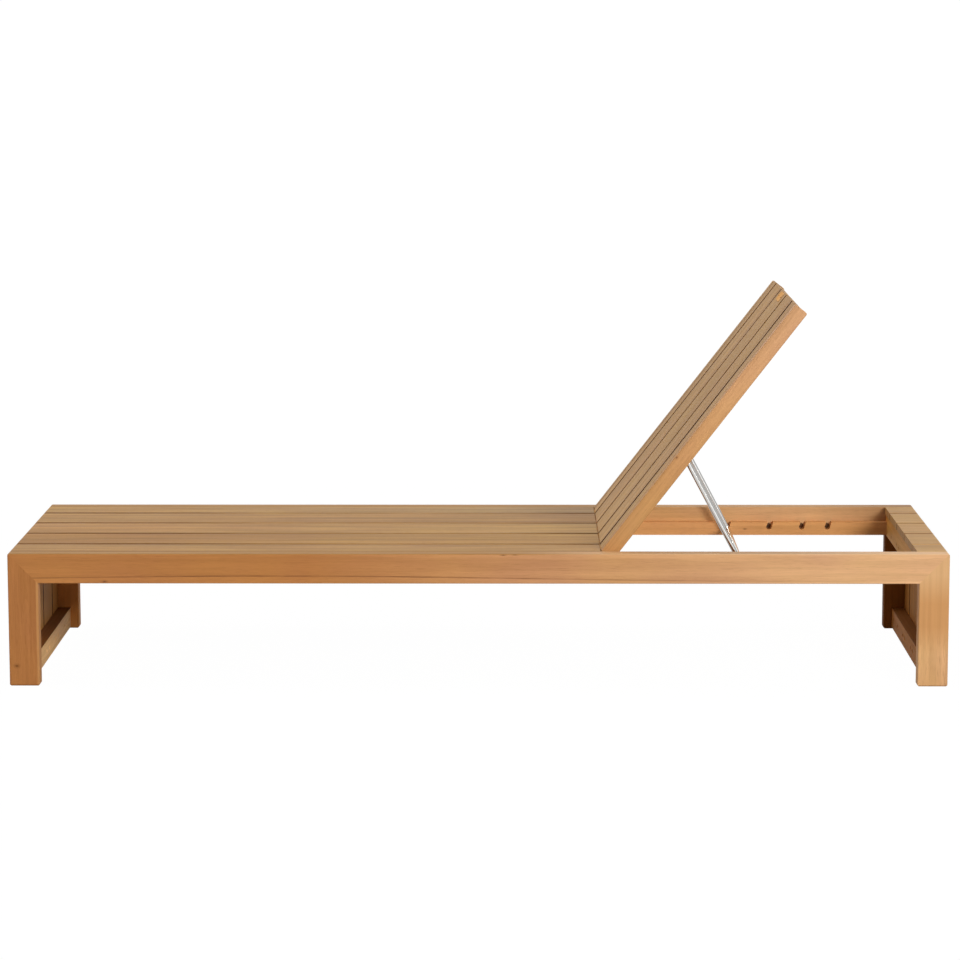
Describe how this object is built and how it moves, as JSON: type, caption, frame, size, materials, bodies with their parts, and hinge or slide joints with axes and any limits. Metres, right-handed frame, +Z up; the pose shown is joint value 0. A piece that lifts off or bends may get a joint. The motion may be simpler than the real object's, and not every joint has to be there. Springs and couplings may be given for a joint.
{
  "type": "sun lounger",
  "caption": "Slatted wooden sun lounger with mitred side frames and solid slatted ends; the backrest hinges up and a steel prop holds it in notched racks.",
  "frame": {"origin": "on the ground, under the middle of the lounger", "axes": "+X along the length towards the head end, +Y across towards the far side, +Z up"},
  "size_m": [2, 0.69, 0.8126],
  "materials": {
    "teak": "sanded, unoiled",
    "inner_teak": "sanded, unoiled",
    "hinge_brass": "satin",
    "steel": "polished"
  },
  "bodies": {
    "frame": {"side_rail_near": "teak", "side_rail_far": "teak", "leg_foot_near": "teak", "leg_foot_far": "teak", "leg_head_near": "teak", "leg_head_far": "teak", "mitre_tongues": "inner_teak", "seat_slat_1": "teak", "seat_slat_2": "teak", "seat_slat_3": "teak", "seat_slat_4": "teak", "seat_slat_5": "teak", "foot_panel_slat_1": "teak", "foot_panel_slat_2": "teak", "foot_panel_slat_3": "teak", "foot_panel_slat_4": "teak", "foot_panel_slat_5": "teak", "head_panel_slat_1": "teak", "head_panel_slat_2": "teak", "head_panel_slat_3": "teak", "head_panel_slat_4": "teak", "head_panel_slat_5": "teak", "head_board_1": "teak", "head_board_2": "teak", "head_board_3": "teak", "head_board_4": "teak", "head_board_5": "teak", "foot_stretcher": "inner_teak", "head_stretcher": "inner_teak", "foot_cross_rail": "inner_teak", "mid_cross_rail_1": "inner_teak", "mid_cross_rail_2": "inner_teak", "hinge_rail": "inner_teak", "head_cross_rail": "inner_teak", "rack_near": "inner_teak", "rack_far": "inner_teak", "hinge_leaves_seat": "hinge_brass", "hinge_pins": "steel", "hinge_screws_seat": "hinge_brass", "slat_screws": "steel"},
    "backrest": {"back_stile_near": "teak", "back_stile_far": "teak", "back_slat_1": "teak", "back_slat_2": "teak", "back_slat_3": "teak", "back_slat_4": "teak", "back_slat_5": "teak", "back_batten_foot": "inner_teak", "back_batten_low": "inner_teak", "back_batten_mid": "inner_teak", "back_batten_head": "inner_teak", "hinge_leaves_back": "hinge_brass", "hinge_screws_back": "hinge_brass", "batten_screws": "steel"},
    "prop": {"prop": "steel"}
  },
  "joints": [
    {"name": "backrest_hinge", "type": "hinge", "parent": "frame", "child": "backrest", "pos_m": [0.264, 0, 0.282], "axis": [0, -1, 0], "range_deg": [-52.25, 8]},
    {"name": "prop_pivot", "type": "hinge", "parent": "backrest", "child": "prop", "pos_m": [0.44209, 0, 0.48179], "axis": [0, -1, 0], "range_deg": [-17, 110.2]}
  ],
  "couplings": [
    {"joint": "prop_pivot", "follows": "backrest_hinge", "ratio": -2.1068}
  ]
}
